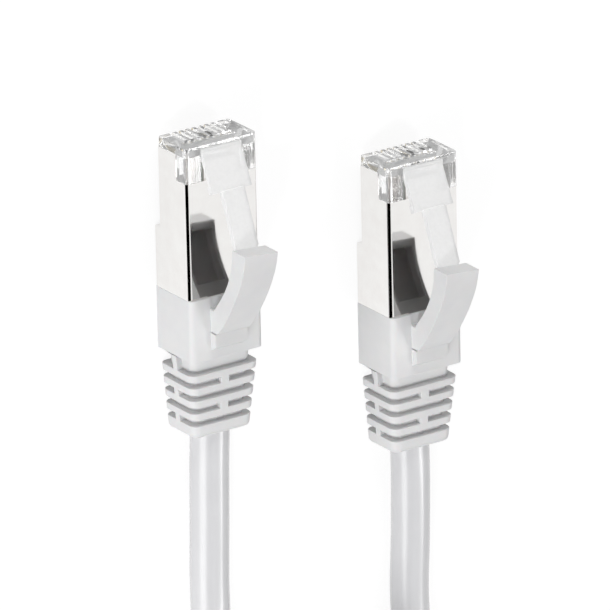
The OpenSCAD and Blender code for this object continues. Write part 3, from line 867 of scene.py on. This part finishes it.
def latch_tail():
    """A narrow strip with its far corners cut off and its upper root edge set back."""
    tail = box("tail", (-TAIL_W / 2, 0, -TAIL_T), (TAIL_W / 2, TAIL_LEN, 0))
    round_edges(tail, along(2, lambda c: c.y > TAIL_LEN - FIT), TAIL_CUT, steps=1)
    pick(tail, "edges", along(0, lambda c: c.y < FIT and c.z > -FIT))
    bpy.ops.transform.translate(value=(0, TAIL_RAKE, 0))
    done()
    return tilt(tail, TAIL_SLOPE - LATCH_SLOPE, (0, TAIL_Y, LATCH_T / 2 + TAIL_STEP))


def latch():
    lever = box("latch", (-LATCH_W / 2, 0, -LATCH_T / 2), (LATCH_W / 2, LATCH_LEN, LATCH_T / 2))
    combine(lever, rod("knuckle", (0, 0, 0), KNUCKLE_R, LATCH_W, 0), "UNION")
    for sign in (-1, 1):
        inside, outside = sorted((sign * TAIL_W / 2, sign * LATCH_W / 2))
        shoulder = box("shoulder", (inside, LATCH_LEN - SHOULDER_LEN, -SHOULDER_DROP),
                       (outside, LATCH_LEN, LATCH_T / 2))
        combine(lever, shoulder, "UNION")
    combine(lever, latch_tail(), "UNION")
    soften(lever, LATCH_SOFT, steps=3, angle=SOFT_ANGLE)
    return tilt(lever, LATCH_SLOPE, LATCH_PIVOT)


LEVERS = seat(latch(), "clear_latch", ON_LATCH, "latch_lever", LATCH_CLEAR)
for lever in LEVERS:
    lever.visible_glossy = False

# %% [markdown]
# ## Boot
# One moulding: a plain block that takes the shield's end, a pad behind the guard arm,
# and a strain relief that tapers to the cord. The relief is made as one tapered body
# first, and the slots are cut out of it afterwards, because in the real mould the
# bridges between the slots are simply what the slots leave standing. They stand on both
# sides and on the two faces in turn. The block's latch face rises a little above the
# relief's.

# %% Boot sizes
BLOCK_LEN = 9.0
BLOCK_R = 0.85
BLOCK_UNDER_R = 0.3
BLOCK_W = BOOT_HIGH.x - BOOT_LOW.x
BLOCK_H = 2 * CORD_Z + 0.45
PAD_Z = BOOT_HIGH.z - 0.15
BLOCK_END = BOOT_Y + BLOCK_LEN
SLOT_COUNT = 5
SLOT_LEN = 0.92
FIRST_RIB = 33.2
RIB_PITCH = 1.95
RELIEF_END = PLUG_LEN + 0.55
RELIEF_W = (11.66, 9.55)
RELIEF_H = (8.2, 7.1)
RELIEF_R = 1.3
RELIEF_UNDER_R = 1.1
RELIEF_END_R = 0.6
SLOT_DEPTH = 0.95
CORE_R = RELIEF_R - 0.2
BRIDGE_W = 1.3
BRIDGE_H = 1.0
BRIDGE_DROP = 0.1
ARM_W = 5.4
PAD_Y = 27.1
PAD_END = 29.0
PAD_SLOPE = 0.75
PAD_CUT = 0.5
PAD_SINK = 0.2
NOTCH_LEN = 1.5
NOTCH_DEPTH = 0.3
NOTCH_SIDE = 0.1
BOOT_SOFT = 0.12


# %% Boot body
def tapered_bar(name, widths, heights, base, radius):
    """A bar from inside the block to the cord that narrows from both sides and from the top."""
    (w0, w1), (h0, h1) = widths, heights
    shape = box(name, (-w0 / 2, BLOCK_END - PAST, base), (w0 / 2, BLOCK_END, base + h0))
    pick(shape, "faces", lambda face, centre: face.normal.y > STRAIGHT)
    bpy.ops.mesh.extrude_region_move(
        TRANSFORM_OT_translate={"value": (0, RELIEF_END - BLOCK_END, 0)})
    bpy.ops.transform.resize(value=(w1 / w0, 1, h1 / h0), center_override=(0, RELIEF_END, base))
    done()
    round_edges(shape, along(1, lambda c: c.z < base + NEAR), RELIEF_UNDER_R, steps=6)
    return round_edges(shape, along(1, lambda c: c.z > base + h1 / 2), radius, steps=10)


def strain_relief():
    relief = tapered_bar("relief", RELIEF_W, RELIEF_H, 0, RELIEF_R)
    return round_edges(relief, lambda edge, centre: centre.y > RELIEF_END - NEAR,
                       RELIEF_END_R, steps=6)


def slot_ring(row):
    """What one slot takes away: a ring round the core, less the two bridges."""
    y1 = FIRST_RIB + row * RIB_PITCH
    y0 = y1 - SLOT_LEN if row else BLOCK_END - 2 * PAST
    reach = BLOCK_W
    ring = box("slot", (-reach, y0, CORD_Z - reach), (reach, y1, CORD_Z + reach))
    widths = [w - 2 * SLOT_DEPTH for w in RELIEF_W]
    heights = [h - 2 * SLOT_DEPTH for h in RELIEF_H]
    combine(ring, tapered_bar("core", widths, heights, SLOT_DEPTH, CORE_R), "DIFFERENCE")
    if row % 2 == 0:
        share = (y1 - BLOCK_END) / (RELIEF_END - BLOCK_END)
        middle = (RELIEF_H[0] + share * (RELIEF_H[1] - RELIEF_H[0])) / 2 - row * BRIDGE_DROP
        bridge = box("bridge", (-2 * reach, y0 - PAST, middle - BRIDGE_H / 2),
                     (2 * reach, y1 + PAST, middle + BRIDGE_H / 2))
    else:
        bridge = box("bridge", (-BRIDGE_W / 2, y0 - PAST, -2 * reach),
                     (BRIDGE_W / 2, y1 + PAST, 3 * reach))
    return combine(ring, bridge, "DIFFERENCE")


def pad():
    """The low block behind the arm, with a sloping rear face and one corner cut off."""
    block = box("pad", (-ARM_W / 2, PAD_Y, BLOCK_H - PAD_SINK), (ARM_W / 2, PAD_END, PAD_Z))
    round_edges(block, along(2, lambda c: c.x < 0 and c.y > PAD_END - FIT), PAD_CUT, steps=3)
    pick(block, "faces", lambda face, centre: face.normal.z < -STRAIGHT)
    bpy.ops.mesh.select_mode(type="VERT")
    mesh = bmesh.from_edit_mesh(block.data)
    for vertex in mesh.verts:
        vertex.select_set(vertex.select and vertex.co.y > PAD_END - PAD_CUT - FIT)
    mesh.select_flush_mode()
    bpy.ops.transform.translate(value=(0, PAD_SLOPE, 0))
    done()
    return block


def boot():
    block = bar("boot", BLOCK_W, BOOT_Y, BLOCK_END, 0, BLOCK_H, BLOCK_R, steps=8,
                under=BLOCK_UNDER_R)
    relief = strain_relief()
    for row in range(SLOT_COUNT):
        combine(relief, slot_ring(row), "DIFFERENCE")
    combine(block, relief, "UNION")
    combine(block, pad(), "UNION")
    notch = box("notch", (-ARM_W / 2 + NOTCH_SIDE, BOOT_Y - PAST, BLOCK_H - NOTCH_DEPTH),
                (ARM_W / 2 - NOTCH_SIDE, BOOT_Y + NOTCH_LEN, BLOCK_H + PAST))
    combine(block, notch, "DIFFERENCE")
    return soften(block, BOOT_SOFT, steps=3, angle=SOFT_ANGLE)


seat(boot(), "white_boot", ON_CABLE, "boot", PVC)

# %% [markdown]
# ## Jacket in the boot
# The cord's jacket runs on inside the boot as far as the crimp. Only its end at the
# boot's exit can be seen, so a plain cylinder does. It slopes down a little on its way
# out, to meet the cord where the curve starts.

# %% Jacket in the boot
def jacket_in_boot():
    drop = (JACKET_HIGH.z - JACKET_LOW.z - CORD_D) + EXIT_DROP
    length = JACKET_HIGH.y - JACKET_LOW.y
    jacket = rod("jacket", (0, JACKET_LOW.y + length / 2, 0), CORD_D / 2 - FIT, length, 1)
    slope = math.degrees(math.atan2(drop, length))
    return tilt(jacket, -slope, (0, 0, CORD_Z + math.tan(math.radians(slope)) * JACKET_LOW.y))


seat(jacket_in_boot(), "jacket_in_boot", ON_CABLE, "jacket_end", JACKET)

# %% [markdown]
# ## Guard arm
# The arm is moulded in one with the boot: a strap that springs from the block and hooks
# over the latch, hollow underneath so that the latch's tail can rise into it. A bar is
# extruded step by step along the arm's curve, and each new end is turned and widened,
# as one would do by hand. A second bar, narrower and lower, is cut out of it. The arm
# is set in place and attached to no body. The tip's end isn't quite square to the arm.

# %% Guard arm
ARM_OUTER = [(1.9, 1.2), (0.2, 2.75), (-2.3, 4.5), (-5.2, 6.3), (-8.5, 7.85), (-11.4, 8.55)]
ARM_INNER = [(-1.35, 0.5), (-2.2, 1.15), (-4.2, 2.75), (-6.4, 4.1), (-8.9, 5.05), (-11.4, 5.4)]
ARM_TIP_TURN = math.radians(4.5)
ARM_SKIN = 0.95
ARM_SIDE = 0.5
ARM_STEPS = 4
TIP_STEPS = 2
ROOT_PAIRS = 2
ROOT_SINK = 1.1
ROOT_BEND = 2.4
ARM_SOFT = 0.2
ARM_SOFT_ANGLE = 40


def arm_line(points):
    """A smooth line through points that are given as y and z from the arm's pivot."""
    route = [Vector((0, *p)) for p in points]
    return [ARM_PIVOT + p for p in smooth_route(route, ARM_STEPS) + [route[-1]]]


def strap(name, outer, inner, width):
    """A bar between two lines with as many points each. Its last end is turned sideways."""
    half = Vector((width / 2, 0, 0))
    bpy.ops.mesh.primitive_plane_add(size=1)
    shape = bpy.context.object
    shape.name = name
    corners = [outer[0] - half, outer[0] + half, inner[0] - half, inner[0] + half]
    for vertex, place in zip(shape.data.vertices, corners):
        vertex.co = place
    bpy.ops.object.mode_set(mode="EDIT")
    bpy.ops.mesh.select_mode(type="FACE")
    bpy.ops.mesh.select_all(action="SELECT")
    for i in range(1, len(outer)):
        before, after = outer[i - 1] - inner[i - 1], outer[i] - inner[i]
        bpy.ops.mesh.extrude_region_move(TRANSFORM_OT_translate={"value": inner[i] - inner[i - 1]})
        turn = math.atan2(after.z, after.y) - math.atan2(before.z, before.y)
        bpy.ops.transform.rotate(value=-turn, orient_axis="X", center_override=inner[i])
        grow = after.length / before.length
        bpy.ops.transform.resize(value=(1, grow, grow), center_override=inner[i])
    bpy.ops.transform.rotate(value=ARM_TIP_TURN, orient_axis="Z", center_override=inner[-1])
    bpy.ops.mesh.select_all(action="SELECT")
    bpy.ops.mesh.normals_make_consistent(inside=False)
    done()
    return shape


def guard_arm():
    outer, inner = arm_line(ARM_OUTER), arm_line(ARM_INNER)
    root = [Vector((0, line[0].y, ARM_PIVOT.z - ROOT_SINK)) for line in (outer, inner)]
    arm = strap("arm", [root[0]] + outer, [root[1]] + inner, ARM_W)
    first = ROOT_PAIRS * ARM_STEPS
    ceiling = [p - Vector((0, 0, ARM_SKIN)) for p in outer[first:]]
    opening = [p - Vector((0, 0, PAST)) for p in inner[first:]]
    hollow = strap("hollow", ceiling[:-TIP_STEPS], opening[:-TIP_STEPS], ARM_W - 2 * ARM_SIDE)
    combine(arm, hollow, "DIFFERENCE")
    return soften(arm, ARM_SOFT, steps=3, angle=ARM_SOFT_ANGLE)


ARM_BEND = ((0, ARM_PIVOT.y, BLOCK_H), (0, ARM_PIVOT.y, BLOCK_H + ROOT_BEND))
seat(guard_arm(), "guard_hook", ON_GUARD, "guard_arm", PVC, bend=ARM_BEND)

# %% [markdown]
# ## Floor
# The floor is a plain pale sheet. Light that has scattered meets pale paper. The camera,
# mirrors and clear plastic see a darker paper instead, with a glow of its own, which
# makes an even white and still keeps the soft shadow.

# %% Floor
FLOOR_SIZE = 6
FLOOR_GLOW = 0.88


def seen_white(tree):
    """1 for rays from the camera, a mirror or clear plastic, 0 once light has scattered."""
    rays = add(tree, "ShaderNodeLightPath").outputs
    seen = rays["Is Camera Ray"]
    for kind in ("Is Glossy Ray", "Is Transmission Ray"):
        seen = add(tree, "ShaderNodeMath", {0: seen, 1: rays[kind]}, operation="MAXIMUM").outputs[0]
    fresh = add(tree, "ShaderNodeMath", {0: rays["Diffuse Depth"], 1: 0.5},
                operation="LESS_THAN").outputs[0]
    return add(tree, "ShaderNodeMath", {0: seen, 1: fresh}, operation="MULTIPLY").outputs[0]


def studio_floor():
    bpy.ops.mesh.primitive_plane_add(size=FLOOR_SIZE)
    floor = bpy.context.object
    floor.name = "studio_floor"
    material, tree = new_material("white paper sweep")
    paper = add(tree, "ShaderNodeBsdfDiffuse", {"Color": colour("#c8c8c8")})
    glow = add(tree, "ShaderNodeEmission", {"Color": (1, 1, 1, 1), "Strength": FLOOR_GLOW})
    shadow = add(tree, "ShaderNodeBsdfDiffuse", {"Color": colour("#7c7c7c")})
    both = add(tree, "ShaderNodeAddShader", {0: shadow.outputs[0], 1: glow.outputs[0]})
    mixed = add(tree, "ShaderNodeMixShader",
                {0: seen_white(tree), 1: paper.outputs[0], 2: both.outputs[0]})
    finish_material(tree, mixed)
    floor.data.materials.append(material)


studio_floor()
print("floor", FLOOR_SIZE, "m wide")

# %% [markdown]
# ## Light
# A white world gives the soft light. Four lamps shape it: a small key lamp high on plug
# a's side, a wide one low before the noses, one low beside plug a, and a narrow strip
# high on plug b's side. The shields mirror the white world, the floor, the boots and a
# black card, which gives them their dark lines. They mirror no lamp: two are hidden from
# mirrors, and the other two don't light them at all.

# %% World and lamps
WORLD_LIGHT = 0.27


def studio_world():
    world = bpy.data.worlds.new("studio")
    bpy.context.scene.world = world
    world.use_nodes = True
    tree = world.node_tree
    tree.nodes.clear()
    dim = add(tree, "ShaderNodeBackground", {"Color": (1, 1, 1, 1), "Strength": WORLD_LIGHT})
    white = add(tree, "ShaderNodeBackground", {"Color": (1, 1, 1, 1), "Strength": 1.0})
    mixed = add(tree, "ShaderNodeMixShader",
                {0: seen_white(tree), 1: dim.outputs[0], 2: white.outputs[0]})
    add(tree, "ShaderNodeOutputWorld", {"Surface": mixed.outputs[0]})


def place_towards(obj, towards, distance):
    """Moves it to the given side of the plugs, with its local Z pointing away from them."""
    way = Vector(towards).normalized()
    obj.location = CAMERA_TARGET + distance * way
    obj.rotation_euler = way.to_track_quat("Z", "Y").to_euler()
    return obj


def softbox(name, towards, distance, width, height, watts):
    """A rectangular lamp that faces the plugs from the given direction."""
    bpy.ops.object.light_add(type="AREA")
    lamp = place_towards(bpy.context.object, towards, distance)
    lamp.name = name
    lamp.data.shape = "RECTANGLE"
    lamp.data.size = width
    lamp.data.size_y = height
    lamp.data.energy = watts
    return lamp


def keep_off(lamp, pieces):
    """Keeps the lamp's light and its mirror image off these pieces."""
    kept = bpy.data.collections.new("not lit by " + lamp.name)
    for piece in pieces:
        kept.objects.link(piece)
    lamp.light_linking.receiver_collection = kept
    for item in kept.collection_objects:
        item.light_linking.link_state = "EXCLUDE"


def black_flag(name, towards, distance, width, height):
    """A black card that only mirrors and clear plastic see. It draws their dark lines."""
    bpy.ops.mesh.primitive_plane_add(size=1)
    card = place_towards(bpy.context.object, towards, distance)
    card.name = name
    card.scale = (width, height, 1)
    card.visible_camera = card.visible_diffuse = card.visible_shadow = False
    material, tree = new_material("black velvet")
    finish_material(tree, add(tree, "ShaderNodeBsdfDiffuse", {"Color": (0, 0, 0, 1)}))
    card.data.materials.append(material)


studio_world()
key_lamp = softbox("key_softbox", towards=(0.62, 0.30, 0.70), distance=0.8,
                   width=0.08, height=0.08, watts=1.35)
front_lamp = softbox("front_softbox", towards=(0.1, -0.94, 0.33), distance=0.6,
                     width=0.3, height=0.3, watts=1.6)
side_lamp = softbox("side_softbox", towards=(0.92, 0.36, 0.17), distance=0.6,
                    width=0.35, height=0.5, watts=2.3)
strip_lamp = softbox("strip_softbox", towards=(-0.5, 0.36, 0.79), distance=0.6,
                     width=0.06, height=0.3, watts=0.75)
for lamp in (key_lamp, front_lamp):
    lamp.visible_glossy = False
keep_off(side_lamp, SHIELDS)
keep_off(strip_lamp, SHIELDS + LEVERS)
black_flag("side_flag", towards=(0.74, 0.386, 0.57), distance=1.6, width=1.0, height=2.6)
bpy.context.scene.view_settings.view_transform = "Standard"
print("lamps:", len(bpy.data.lights))
